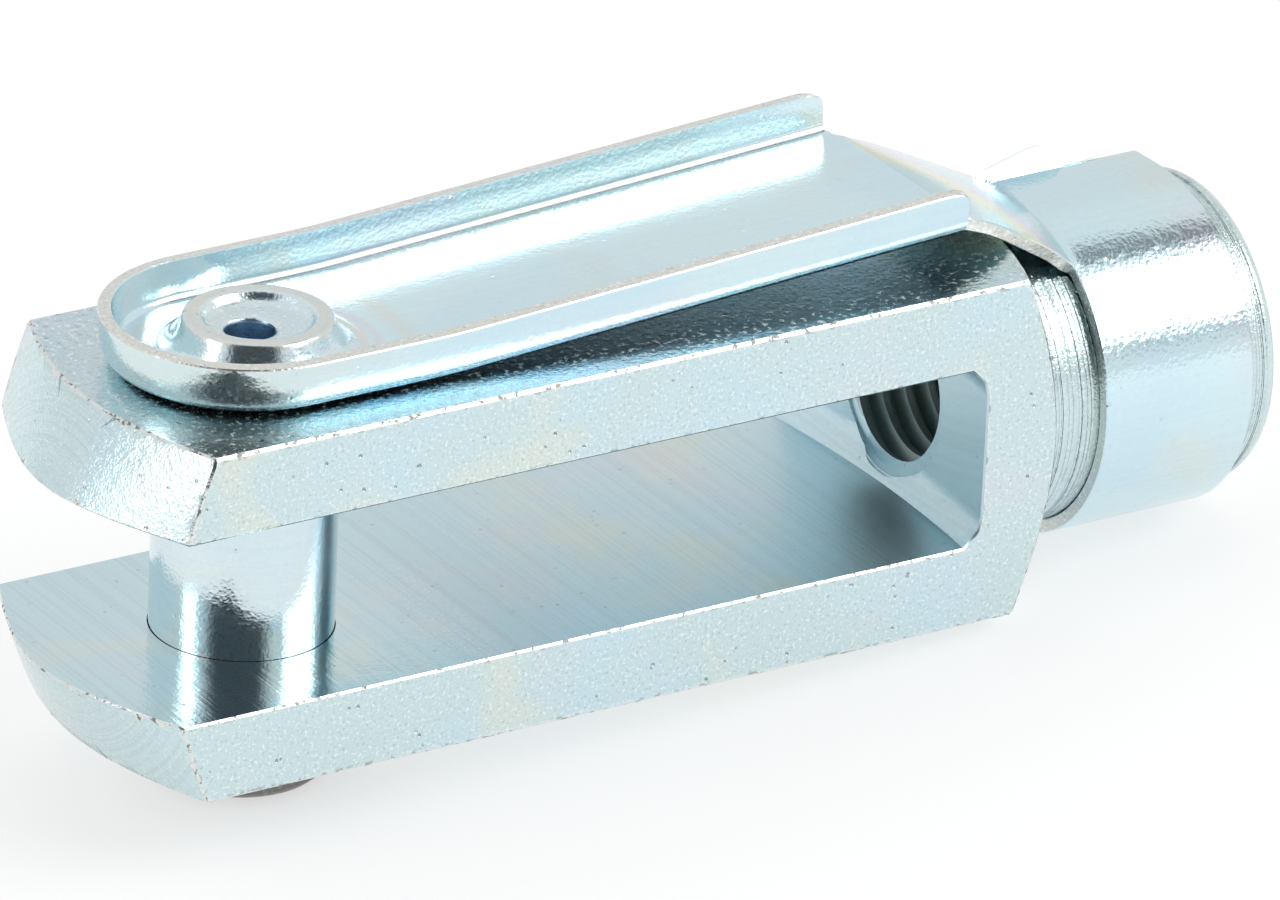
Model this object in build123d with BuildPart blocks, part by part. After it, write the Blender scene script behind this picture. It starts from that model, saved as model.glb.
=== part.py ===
from build123d import *
import math
import os

os.makedirs("parts", exist_ok=True)

# Clevis rod end, M10, fork 10 x 40, with a riveted spring clip pin. Millimetres.
# +X runs along the fork towards the shank, +Z runs up the pin towards its riveted head.
# The pieces are drawn about the pin's axis, half way between the two arms. They are then moved to the
# origin, which is on the thread's axis, a little inside the neck's end face.

origin_inset = 1.0

# Fork head.
bar_square = 20.0
bar_edge = 0.3
slot_width = 10.5
slot_depth = 41.25
slot_corner = 1.06
slot_corner_lead = 0.85
cutter_radius = 80.0
tip_centre = 14.85
tip_middle = 11.43
tip_corner = 7.61
shoulder_corner = 42.81
neck_radius = 8.85
neck_start = 45.89
neck_end = 60.76
neck_bevel = 0.65
pin_hole_radius = 5.05
thread_bore_radius = 4.2
thread_mouth_radius = 5.15

# Clevis pin with its tenon flared over the clip.
pin_radius = 5.0
pin_low = -13.6
pin_bevel = 0.5
tenon_radius = 2.9
head_shift = 0.5
head_foot_radius = 3.45
head_lip_radius = 4.05
head_lip_width = 1.05
head_top = 12.62
head_well_radius = 1.35
head_well_top = 11.85
head_well_floor = 8.6

# Spring clip.
sheet = 0.75
leaf_low = 10.12
leaf_half = 7.67
tray_centre = -0.35
flange_top = 13.1
fold_radius = 1.3
leaf_rise = 3.35
leaf_flat_end = 6.2
leaf_bend_radius = 60.0
flange_end = 40.35
flange_corner = 1.0
rivet_hole_radius = 2.95
ring_inner = 3.6
ring_outer = 5.3
ring_depth = 0.1
clasp_outer = 9.72
clasp_start = 48.66
clasp_end = 58.48
jaw_reach = 2.95
jaw_radius = 62.0
ear_start = 47.35
ear_shoulder = 52.0
ear_end = 53.55
ear_height = 1.8
ear_lean = 45.0

to_origin = Location((origin_inset - neck_end, 0, 0))

# The envelope of the turned ends: domed tip, tapered rear shoulder, round neck.
corner_radius = 14.4
with BuildPart() as turned:
    with BuildSketch(Plane.XZ):
        with BuildLine():
            ThreePointArc((-tip_centre, 0), (-tip_middle, corner_radius / 2), (-tip_corner, corner_radius))
            Polyline(
                (-tip_corner, corner_radius),
                (shoulder_corner, corner_radius),
                (neck_start, neck_radius),
                (neck_end - neck_bevel, neck_radius),
                (neck_end, neck_radius - neck_bevel),
                (neck_end, 0),
                (-tip_centre, 0),
            )
        make_face()
    revolve(axis=Axis.X)

# The disc cutter that mills the slot, so that the slot's floor is a shallow arc.
half_slot = slot_width / 2
cutter_centre = slot_depth - cutter_radius
with BuildPart() as slot_cutter:
    with BuildSketch(Plane.XZ):
        with BuildLine():
            Polyline(
                (cutter_centre, -half_slot),
                (slot_depth - slot_corner, -half_slot),
                (slot_depth - 0.2, -half_slot + slot_corner_lead),
                (slot_depth, -half_slot + 2 * slot_corner_lead),
                (slot_depth, half_slot - 2 * slot_corner_lead),
                (slot_depth - 0.2, half_slot - slot_corner_lead),
                (slot_depth - slot_corner, half_slot),
                (cutter_centre, half_slot),
                close=True,
            )
        make_face()
    revolve(axis=Axis((cutter_centre, 0, 0), (0, 0, 1)))

# The tapped hole, from the slot's floor to the end of the neck, with a mouth at each end.
mouth_depth = thread_mouth_radius - thread_bore_radius
with BuildPart() as tapped_hole:
    with BuildSketch(Plane.XZ):
        with BuildLine():
            Polyline(
                (slot_depth - 5, 0),
                (slot_depth - 5, thread_mouth_radius),
                (slot_depth, thread_mouth_radius),
                (slot_depth + mouth_depth, thread_bore_radius),
                (neck_end - mouth_depth, thread_bore_radius),
                (neck_end, thread_mouth_radius),
                (neck_end + 5, thread_mouth_radius),
                (neck_end + 5, 0),
                close=True,
            )
        make_face()
    revolve(axis=Axis.X)

bar_length = neck_end + tip_centre + 2
bar_middle = (neck_end - tip_centre) / 2
with BuildPart() as fork:
    with Locations((bar_middle, 0, 0)):
        Box(bar_length, bar_square, bar_square)
    fillet(fork.edges().filter_by(Axis.X), radius=bar_edge)
    add(turned.part, mode=Mode.INTERSECT)
    add(slot_cutter.part, mode=Mode.SUBTRACT)
    Cylinder(pin_hole_radius, 3 * bar_square, mode=Mode.SUBTRACT)
    add(tapped_hole.part, mode=Mode.SUBTRACT)

fork_head = fork.part.moved(to_origin)
fork_head.label = "fork_head"
export_step(fork_head, "parts/fork_head.step")

# The pin is one turning: shank, shoulder under the sheet and tenon. The tenon's end is flared into a lip
# that sits slightly off the pin's axis, round a funnel that narrows into a drilled well.
lip_inner = head_lip_radius - head_lip_width
sheet_top = leaf_low + sheet
with BuildPart() as head:
    with BuildSketch(Plane.XZ):
        with BuildLine():
            Polyline(
                (head_shift, sheet_top),
                (head_shift + head_foot_radius, sheet_top),
                (head_shift + head_lip_radius, head_top - 0.35),
                (head_shift + head_lip_radius, head_top - 0.1),
                (head_shift + head_lip_radius - 0.1, head_top),
                (head_shift, head_top),
                close=True,
            )
        make_face()
    revolve(axis=Axis((head_shift, 0, 0), (0, 0, 1)))

with BuildPart() as funnel:
    with BuildSketch(Plane.XY.offset(head_well_top)):
        Circle(head_well_radius)
    with BuildSketch(Plane.XY.offset(head_top)):
        with Locations((head_shift, 0)):
            Circle(lip_inner)
    loft()

with BuildPart() as pin:
    with BuildSketch(Plane.XZ):
        with BuildLine():
            Polyline(
                (0, pin_low),
                (pin_radius - pin_bevel, pin_low),
                (pin_radius, pin_low + pin_bevel),
                (pin_radius, leaf_low),
                (tenon_radius, leaf_low),
                (tenon_radius, sheet_top),
                (0, sheet_top),
                close=True,
            )
        make_face()
    revolve(axis=Axis.Z)
    add(head.part)
    add(funnel.part, mode=Mode.SUBTRACT)
    well_depth = head_well_top - head_well_floor
    with Locations((0, 0, head_well_top - well_depth / 2)):
        Cylinder(head_well_radius, well_depth, mode=Mode.SUBTRACT)

clevis_pin = pin.part.moved(to_origin)
clevis_pin.label = "clevis_pin"
export_step(clevis_pin, "parts/clevis_pin.step")

# The tray's cross-section, half of it: floor, fold and flange.
fold_inner = fold_radius - sheet
half_tray = [
    (0, leaf_low),
    (leaf_half - fold_radius, leaf_low),
    (leaf_half, leaf_low + fold_radius),
    (leaf_half, flange_top),
    (leaf_half - sheet, flange_top),
    (leaf_half - sheet, leaf_low + fold_radius),
    (leaf_half - fold_radius, leaf_low + sheet),
    (0, leaf_low + sheet),
]


def tray_half(side):
    # Draws one half of the section at the tray's centre; side is 1 for +Y and -1 for -Y.
    p = [(side * y, z) for y, z in half_tray]
    mid = 0.70711
    centre_y = leaf_half - fold_radius
    centre_z = leaf_low + fold_radius
    outer_mid = (side * (centre_y + fold_radius * mid), centre_z - fold_radius * mid)
    inner_mid = (side * (centre_y + fold_inner * mid), centre_z - fold_inner * mid)
    with BuildSketch(Plane.YZ.offset(tray_centre)) as half:
        with BuildLine():
            Line(p[0], p[1])
            ThreePointArc(p[1], outer_mid, p[2])
            Line(p[2], p[3])
            Line(p[3], p[4])
            Line(p[4], p[5])
            ThreePointArc(p[5], inner_mid, p[6])
            Line(p[6], p[7])
            Line(p[7], p[0])
        make_face()
    return half.sketch


# The round front end of the tray.
with BuildPart() as tray_front:
    add(tray_half(1))
    revolve(axis=Axis((tray_centre, 0, 0), (0, 0, 1)), revolution_arc=180)

# The leaf runs back from the pin, bends and rises a little.
rise = math.radians(leaf_rise)
bend_end_x = leaf_flat_end + leaf_bend_radius * math.sin(rise)
bend_end_z = leaf_low + leaf_bend_radius * (1 - math.cos(rise))
bend_mid_x = leaf_flat_end + leaf_bend_radius * math.sin(rise / 2)
bend_mid_z = leaf_low + leaf_bend_radius * (1 - math.cos(rise / 2))
leaf_end_x = flange_end + 2
leaf_end_z = bend_end_z + (leaf_end_x - bend_end_x) * math.tan(rise)
with BuildLine(Plane.XZ) as leaf_path:
    Line((tray_centre, leaf_low), (leaf_flat_end, leaf_low))
    ThreePointArc((leaf_flat_end, leaf_low), (bend_mid_x, bend_mid_z), (bend_end_x, bend_end_z))
    Line((bend_end_x, bend_end_z), (leaf_end_x, leaf_end_z))

with BuildPart() as leaf:
    add(tray_half(1))
    add(tray_half(-1))
    sweep(path=leaf_path.line)
    split(bisect_by=Plane.YZ.offset(flange_end), keep=Keep.BOTTOM)
    flange_tips = leaf.edges().filter_by(Axis.Y).group_by(Axis.Z)[-1]
    fillet(flange_tips, radius=flange_corner)


def saddle_section(x, top, near_radius, far_radius, near_reach, far_reach, skin):
    # Draws the sheet's section at x: an arc on the near side of the crown and another on the far side.
    near_turn = -math.asin(near_reach / near_radius)
    far_turn = math.asin(far_reach / far_radius)

    def on_arc(radius, drop, turn):
        return (radius * math.sin(turn), top - drop + radius * math.cos(turn))

    near_inner = near_radius - skin
    far_inner = far_radius - skin
    a = on_arc(near_radius, near_radius, near_turn)
    b = on_arc(near_radius, near_radius, near_turn / 2)
    c = on_arc(far_radius, far_radius, far_turn / 2)
    d = on_arc(far_radius, far_radius, far_turn)
    e = on_arc(far_inner, far_radius, far_turn)
    f = on_arc(far_inner, far_radius, far_turn / 2)
    g = on_arc(near_inner, near_radius, near_turn / 2)
    h = on_arc(near_inner, near_radius, near_turn)
    with BuildSketch(Plane.YZ.offset(x)) as section:
        with BuildLine():
            ThreePointArc(a, b, (0, top))
            ThreePointArc((0, top), c, d)
            Line(d, e)
            ThreePointArc(e, f, (0, top - skin))
            ThreePointArc((0, top - skin), g, h)
            Line(h, a)
        make_face()
    return section.sketch


# The saddle turns the flat leaf into the round clasp: x, crown, arc radii, reaches, sheet measured upright.
saddle_stations = [
    (flange_end, 12.74, 2000, 1800, 6.2, 6.2, 0.70),
    (41.2, 12.61, 110, 105, 6.35, 6.25, 0.76),
    (42.4, 12.36, 70, 65, 6.3, 5.95, 0.78),
    (43.3, 12.08, 43, 48, 6.22, 5.5, 0.80),
    (44.8, 11.52, 24, 38, 6.08, 4.95, 0.82),
    (46.4, 10.82, 17, 32, 5.9, 4.3, 0.83),
    (47.4, 10.33, 13.8, 34, 5.78, 3.8, 0.82),
    (48.1, 10.0, 11.6, 44, 5.68, 3.35, 0.80),
    (clasp_start, clasp_outer, clasp_outer, jaw_radius, 5.58, jaw_reach, sheet),
]
with BuildPart() as saddle:
    for station in saddle_stations:
        add(saddle_section(*station))
    loft()

# The clasp wraps the neck from the upper jaw over the near side to the lower jaw.
clasp_inner = clasp_outer - sheet
jaw_inner = jaw_radius - sheet
jaw_turn = math.asin(jaw_reach / jaw_radius)
jaw_centre = clasp_outer - jaw_radius
jaw_tip_y = jaw_inner * math.sin(jaw_turn)
jaw_mid_y = jaw_radius * math.sin(jaw_turn / 2)
jaw_in_mid_y = jaw_inner * math.sin(jaw_turn / 2)
jaw_out_z = jaw_centre + jaw_radius * math.cos(jaw_turn)
jaw_out_mid_z = jaw_centre + jaw_radius * math.cos(jaw_turn / 2)
jaw_in_z = jaw_centre + jaw_inner * math.cos(jaw_turn)
jaw_in_mid_z = jaw_centre + jaw_inner * math.cos(jaw_turn / 2)
with BuildPart() as clasp:
    with BuildSketch(Plane.YZ.offset(clasp_start)):
        with BuildLine():
            ThreePointArc((jaw_reach, jaw_out_z), (jaw_mid_y, jaw_out_mid_z), (0, clasp_outer))
            ThreePointArc((0, clasp_outer), (-clasp_outer, 0), (0, -clasp_outer))
            Line((0, -clasp_outer), (jaw_reach, -clasp_outer))
            Line((jaw_reach, -clasp_outer), (jaw_reach, -clasp_inner))
            Line((jaw_reach, -clasp_inner), (0, -clasp_inner))
            ThreePointArc((0, -clasp_inner), (-clasp_inner, 0), (0, clasp_inner))
            ThreePointArc((0, clasp_inner), (jaw_in_mid_y, jaw_in_mid_z), (jaw_tip_y, jaw_in_z))
            Line((jaw_tip_y, jaw_in_z), (jaw_reach, jaw_out_z))
        make_face()
    extrude(amount=clasp_end - clasp_start)

# The ear that the thumb lifts stands on the upper jaw's free edge.
ear_plane = Plane(
    origin=(0, jaw_reach - 0.2, clasp_outer),
    x_dir=(1, 0, 0),
    z_dir=(0, -math.sin(math.radians(ear_lean)), math.cos(math.radians(ear_lean))),
)
with BuildPart() as ear:
    with BuildSketch(ear_plane):
        with BuildLine():
            Polyline(
                (ear_start + 1.35, -0.25),
                (ear_start, 0.5),
                (ear_start + 2.25, 1.2),
                (ear_shoulder, ear_height - 0.08),
                (ear_shoulder + 0.6, ear_height),
                (ear_end - 0.45, ear_height - 0.14),
                (ear_end - 0.15, ear_height - 0.55),
                (ear_end, ear_height - 1.1),
                (ear_end, -0.25),
                close=True,
            )
        make_face()
    extrude(amount=-sheet)

# The riveting tool leaves a shallow ring round the head.
with BuildPart() as tool_ring:
    with BuildSketch(Plane.XY.offset(sheet_top - ring_depth)):
        with Locations((head_shift, 0)):
            Circle(ring_outer)
            Circle(ring_inner, mode=Mode.SUBTRACT)
    extrude(amount=2 * ring_depth)

with BuildPart() as clip:
    add(tray_front.part)
    add(leaf.part)
    add(saddle.part)
    add(clasp.part)
    add(ear.part)
    with Locations((0, 0, leaf_low)):
        Cylinder(rivet_hole_radius, 4 * sheet, mode=Mode.SUBTRACT)
    add(tool_ring.part, mode=Mode.SUBTRACT)

spring_clip = clip.part.moved(to_origin)
spring_clip.label = "spring_clip"
export_step(spring_clip, "parts/spring_clip.step")
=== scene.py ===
from math import asin, cos, hypot, pi, radians, sin, sqrt, tan

import bmesh
import bpy
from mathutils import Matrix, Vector


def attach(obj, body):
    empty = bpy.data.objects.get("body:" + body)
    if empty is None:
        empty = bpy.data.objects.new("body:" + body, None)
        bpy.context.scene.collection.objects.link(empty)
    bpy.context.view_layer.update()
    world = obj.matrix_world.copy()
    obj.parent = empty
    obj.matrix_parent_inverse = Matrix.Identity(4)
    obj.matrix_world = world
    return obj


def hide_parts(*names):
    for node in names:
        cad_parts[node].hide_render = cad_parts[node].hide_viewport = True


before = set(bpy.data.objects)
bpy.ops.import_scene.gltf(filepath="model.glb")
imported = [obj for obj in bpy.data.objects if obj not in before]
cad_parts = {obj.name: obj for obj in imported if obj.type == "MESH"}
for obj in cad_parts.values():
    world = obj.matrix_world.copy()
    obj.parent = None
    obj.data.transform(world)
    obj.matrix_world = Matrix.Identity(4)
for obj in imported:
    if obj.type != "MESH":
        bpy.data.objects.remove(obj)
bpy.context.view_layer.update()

# The pieces are modelled in millimetres about the pin's axis. goToFrame then brings them to metres,
# about the thread's axis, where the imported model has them.
pinPlace = -59.76
mm = 0.001
mergeWithin = 0.0005


def deselect():
    if bpy.context.mode != "OBJECT":
        bpy.ops.object.mode_set(mode="OBJECT")
    bpy.ops.object.select_all(action="DESELECT")


def pick(piece):
    deselect()
    piece.select_set(True)
    bpy.context.view_layer.objects.active = piece


def editMesh(piece):
    pick(piece)
    bpy.ops.object.mode_set(mode="EDIT")
    return bmesh.from_edit_mesh(piece.data)


def selectOnly(piece, wanted, kind="verts"):
    # Selects the parts of the mesh that the test says yes to.
    mesh = bmesh.from_edit_mesh(piece.data)
    bpy.ops.mesh.select_mode(type={"verts": "VERT", "edges": "EDGE", "faces": "FACE"}[kind])
    bpy.ops.mesh.select_all(action="DESELECT")
    for part in getattr(mesh, kind):
        if wanted(part):
            part.select_set(True)
    mesh.select_flush_mode()
    bmesh.update_edit_mesh(piece.data)


def applyModifier(piece, kind, **settings):
    pick(piece)
    modifier = piece.modifiers.new(kind.title(), kind)
    for name, value in settings.items():
        setattr(modifier, name, value)
    bpy.ops.object.modifier_apply(modifier=modifier.name)


def carve(piece, cutter, operation="DIFFERENCE"):
    applyModifier(piece, "BOOLEAN", object=cutter, operation=operation, solver="EXACT")
    bpy.data.objects.remove(cutter)


def drawLine(name, spots):
    # A plane is merged to one point, and that point is extruded from spot to spot.
    deselect()
    bpy.ops.mesh.primitive_plane_add(size=1)
    piece = bpy.context.object
    piece.name = name
    bpy.ops.object.mode_set(mode="EDIT")
    bpy.ops.mesh.select_mode(type="VERT")
    bpy.ops.mesh.select_all(action="SELECT")
    bpy.ops.mesh.merge(type="CENTER")
    here = Vector(spots[0])
    bpy.ops.transform.translate(value=here)
    for spot in spots[1:]:
        there = Vector(spot)
        bpy.ops.mesh.extrude_vertices_move(TRANSFORM_OT_translate={"value": there - here})
        here = there
    bpy.ops.mesh.select_all(action="SELECT")
    return piece


def mergeAndTurnOut(within=mergeWithin):
    # Closes the seams of the mesh being edited and points its faces outwards.
    bpy.ops.mesh.select_all(action="SELECT")
    bpy.ops.mesh.remove_doubles(threshold=within)
    bpy.ops.mesh.normals_make_consistent(inside=False)
    bpy.ops.object.mode_set(mode="OBJECT")


def lathe(name, profile, axis="X", centre=(0, 0, 0), steps=96):
    # The profile gives places along the axis and radii. Its line is spun round the axis.
    if axis == "X":
        spots = [(centre[0] + along, centre[1], centre[2] + radius) for along, radius in profile]
    else:
        spots = [(centre[0] + radius, centre[1], centre[2] + along) for along, radius in profile]
    piece = drawLine(name, spots)
    turn = (1, 0, 0) if axis == "X" else (0, 0, 1)
    bpy.ops.mesh.spin(steps=steps, angle=2 * pi, center=centre, axis=turn)
    mergeAndTurnOut()
    return piece


def goToFrame(piece):
    pick(piece)
    bpy.ops.object.transform_apply(location=True, rotation=True, scale=True)
    piece.location = (pinPlace * mm, 0, 0)
    piece.scale = (mm, mm, mm)
    bpy.ops.object.transform_apply(location=True, rotation=True, scale=True)


def shade(piece, angle):
    pick(piece)
    bpy.ops.object.shade_smooth_by_angle(angle=radians(angle))
    applyModifier(piece, "WEIGHTED_NORMAL", mode="FACE_AREA", weight=100, keep_sharp=True)


def arcThrough(points, steps):
    # Places on the arc through three places.
    (ax, ay), (bx, by), (cx, cy) = points
    twist = 2 * (ax * (by - cy) + bx * (cy - ay) + cx * (ay - by))
    a, b, c = ax**2 + ay**2, bx**2 + by**2, cx**2 + cy**2
    centre = Vector(((a * (by - cy) + b * (cy - ay) + c * (ay - by)) / twist,
                     (a * (cx - bx) + b * (ax - cx) + c * (bx - ax)) / twist))
    start = Vector((ax, ay)) - centre
    end = Vector((cx, cy)) - centre
    turn = start.angle_signed(end)
    places = []
    for i in range(steps + 1):
        angle = -turn * i / steps
        x = start.x * cos(angle) - start.y * sin(angle)
        y = start.x * sin(angle) + start.y * cos(angle)
        places.append((centre.x + x, centre.y + y))
    return places


fork = {
    "square": 20.0,
    "blankMiddle": 23.0,
    "blankLength": 80.0,
    "longEdge": 0.17,
    "slotWidth": 10.5,
    "slotDepth": 41.25,
    "cutterRadius": 80.0,
    "rimFacets": [(0, 1.06), (0.85, 0.2), (1.7, 0)],  # in from the cutter's side, short of its rim
    "tip": [(-14.85, 0), (-11.43, 7.2), (-7.61, 14.4)],  # places and radii on the dome's arc
    "tipSteps": 14,
    "shoulder": [(42.81, 14.4), (45.89, 8.85)],
    "neckRadius": 8.85,
    "neckEnd": 60.76,
    "neckRound": [(0.65, 0), (0.3, 0.2), (0, 0.65)],  # short of the end, down from the neck
    "grooves": [(45.94, 48.5, 0.3), (58.1, 59.96, 0.27)],  # start, end, the tool's feed
    "grooveDepth": 0.08,
    "grooveFall": 0.07,
    "grooveLand": 0.04,
    "pinHole": 5.05,
    "edgeBreak": 0.11,
    "edgeAngle": 46,  # flatter edges stay as they are
}


def makeBlank():
    # The square bar with its long edges drawn slightly blunt.
    deselect()
    bpy.ops.mesh.primitive_cube_add(size=1, location=(fork["blankMiddle"], 0, 0))
    body = bpy.context.object
    body.name = "forkBody"
    bpy.ops.object.mode_set(mode="EDIT")
    bpy.ops.transform.resize(value=(fork["blankLength"], fork["square"], fork["square"]),
                             center_override=(fork["blankMiddle"], 0, 0))
    selectOnly(body, lambda e: abs(e.verts[0].co.x - e.verts[1].co.x) > 0.1, "edges")
    bpy.ops.mesh.bevel(offset=fork["longEdge"], segments=1)
    bpy.ops.object.mode_set(mode="OBJECT")
    return body


def cutGrooves(start, end, feed):
    # The lathe tool's feed left uneven grooves in the neck.
    radius, x = fork["neckRadius"], start
    places = []
    while x < end:
        step = feed * (1 + 0.35 * sin(9.1 * x))
        bottom = radius - fork["grooveDepth"] * (0.75 + 0.25 * sin(5.3 * x))
        places += [(x, radius), (x + fork["grooveFall"], bottom), (x + step - fork["grooveLand"], radius)]
        x += step
    return places


def turnEnds(body):
    # Domed tip, rear shoulder, and the neck with grooves on both sides of the clasp.
    outline = arcThrough(fork["tip"], fork["tipSteps"]) + fork["shoulder"]
    for start, end, feed in fork["grooves"]:
        outline += cutGrooves(start, end, feed)
    outline += [(fork["neckEnd"] - short, fork["neckRadius"] - down) for short, down in fork["neckRound"]]
    outline.append((fork["neckEnd"], 0))
    carve(body, lathe("envelope", outline, "X", steps=160), "INTERSECT")


def millSlot(body):
    # The slot's end is round, because a disc cutter went in from the tip. Its rim has two facets.
    half = fork["slotWidth"] / 2
    near = [(-half + inward, fork["slotDepth"] - short) for inward, short in fork["rimFacets"]]
    rim = near + [(-z, x) for z, x in reversed(near)]
    axle = fork["slotDepth"] - fork["cutterRadius"]
    profile = [(-half, 0)] + [(z, x - axle) for z, x in rim] + [(half, 0)]
    disc = lathe("slotDisc", profile, "Z", (axle, 0, 0), steps=300)
    editMesh(disc)
    bpy.ops.mesh.select_all(action="SELECT")
    bpy.ops.mesh.dissolve_limited(angle_limit=radians(0.2))  # each flat side becomes one face
    bpy.ops.object.mode_set(mode="OBJECT")
    carve(body, disc)


def breakEdges(body):
    barEnd = fork["shoulder"][1][0] - 0.1
    editMesh(body)
    selectOnly(body, lambda e: e.is_manifold and e.calc_face_angle() > radians(fork["edgeAngle"])
               and max(v.co.x for v in e.verts) < barEnd, "edges")
    bpy.ops.mesh.bevel(offset=fork["edgeBreak"], segments=1, clamp_overlap=False)
    bpy.ops.object.mode_set(mode="OBJECT")


def drillPinHole(body):
    deselect()
    bpy.ops.mesh.primitive_cylinder_add(vertices=96, radius=fork["pinHole"], depth=2 * fork["square"])
    carve(body, bpy.context.object)


thread = {
    "pitch": 1.5,
    "minor": 4.2,
    "major": 5.0,
    "flanks": (0.25, 0.5625, 0.6875),  # shares of the pitch where the tooth rises, is up and falls
    "start": 38.9,
    "turns": 16,
    "steps": 48,
    "mouth": 4.95,
    "mouthStep": 0.04,
    "chamfer": 0.2,
    "point": 0.35,
    "runIn": 4.0,
}


def makeTap():
    # The tap's tooth is drawn once and wound along the hole.
    pitch, low, high = thread["pitch"], thread["minor"], thread["major"]
    rise, up, fall = thread["flanks"]
    tooth = [(0, low), (rise * pitch, low), (up * pitch, high), (fall * pitch, high), (pitch, low)]
    tap = drawLine("tap", [(thread["start"] + x, 0, radius) for x, radius in tooth])
    bpy.ops.object.mode_set(mode="OBJECT")
    applyModifier(tap, "SCREW", axis="X", angle=2 * pi, screw_offset=pitch, iterations=thread["turns"],
                  steps=thread["steps"], render_steps=thread["steps"], use_merge_vertices=True,
                  merge_threshold=2 * mergeWithin)
    bpy.ops.object.mode_set(mode="EDIT")
    bpy.ops.mesh.select_all(action="SELECT")
    bpy.ops.mesh.remove_doubles(threshold=2 * mergeWithin)
    middle = thread["start"] + pitch * thread["turns"] / 2
    for side in (-1, 1):
        selectOnly(tap, lambda e: e.is_boundary and (e.verts[0].co.x - middle) * side > 0, "edges")
        bpy.ops.mesh.edge_face_add()
    bpy.ops.mesh.select_all(action="SELECT")
    bpy.ops.mesh.normals_make_consistent(inside=False)
    bpy.ops.object.mode_set(mode="OBJECT")
    return tap


def cutThread(body):
    # Both mouths are countersunk before the tap goes through.
    mouth, chamfer, runIn = thread["mouth"], thread["chamfer"], thread["runIn"]
    low = thread["minor"] - chamfer
    floor, end = fork["slotDepth"], fork["neckEnd"]
    face = floor + thread["mouthStep"]
    inner = [(floor - runIn, 0), (floor - runIn, mouth), (face, mouth), (face, thread["minor"]),
             (face + chamfer, low), (face + thread["point"], 0)]
    outer = [(end + runIn, 0), (end + runIn, mouth), (end, mouth), (end - mouth + low, low),
             (end - mouth + low, 0)]
    carve(body, lathe("innerMouth", inner, "X", steps=72))
    carve(body, lathe("outerMouth", outer, "X", steps=72))
    carve(body, makeTap())


print("fork")
forkBody = makeBlank()
turnEnds(forkBody)
millSlot(forkBody)
breakEdges(forkBody)
drillPinHole(forkBody)
cutThread(forkBody)
goToFrame(forkBody)
shade(forkBody, 34)
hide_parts("fork_head")
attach(forkBody, "fork")


pin = {
    # height and radius, from the foot up; the dark foot ends at height -10.1
    "shank": [(-13.6, 0), (-13.6, 4.35), (-13.52, 4.52), (-13.18, 4.9), (-13.05, 4.97), (-12.9, 5.0),
              (-10.1, 5.0), (-4.0, 5.0), (4.0, 5.0), (10.12, 5.0), (10.12, 2.9), (10.78, 2.9)],
    # height, radius, share of the shift: the flared end stands a little off the pin's axis
    "head": [(10.8, 5.42, 1), (10.88, 5.36, 1), (10.94, 5.25, 1), (11.02, 5.03, 1), (11.14, 4.83, 1),
             (11.3, 4.66, 1), (11.5, 4.52, 1), (11.7, 4.41, 1), (11.9, 4.31, 1), (12.1, 4.22, 1),
             (12.3, 4.13, 1), (12.46, 4.06, 1), (12.55, 4.0, 1), (12.6, 3.9, 1), (12.62, 3.76, 1),
             (12.62, 3.34, 1), (12.6, 3.2, 1), (12.55, 3.1, 1), (12.47, 3.02, 1), (12.33, 2.94, 1),
             (12.2, 2.85, 0.97), (12.1, 2.73, 0.92), (12.03, 2.56, 0.82), (11.99, 2.35, 0.65),
             (11.96, 2.1, 0.45), (11.94, 1.85, 0.25), (11.91, 1.62, 0.1), (11.86, 1.48, 0.03),
             (11.78, 1.39, 0)],
    "well": [(11.6, 1.35), (9.2, 1.35), (8.75, 0.9), (8.6, 0)],
    "headShift": 0.5,
    "sameRing": 0.003,
}


def makePin():
    profile = pin["shank"] + [(z, r) for z, r, share in pin["head"]] + pin["well"]
    piece = lathe("clevisPin", profile, "Z", steps=112)
    editMesh(piece)
    near = pin["sameRing"]
    for z, r, share in pin["head"]:
        selectOnly(piece, lambda v: abs(v.co.z - z) < near and abs(v.co.xy.length - r) < near)
        bpy.ops.transform.translate(value=(pin["headShift"] * share, 0, 0))
    bpy.ops.object.mode_set(mode="OBJECT")
    return piece


print("pin")
clevisPin = makePin()
goToFrame(clevisPin)
shade(clevisPin, 40)
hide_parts("clevis_pin")
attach(clevisPin, "clip")


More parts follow.
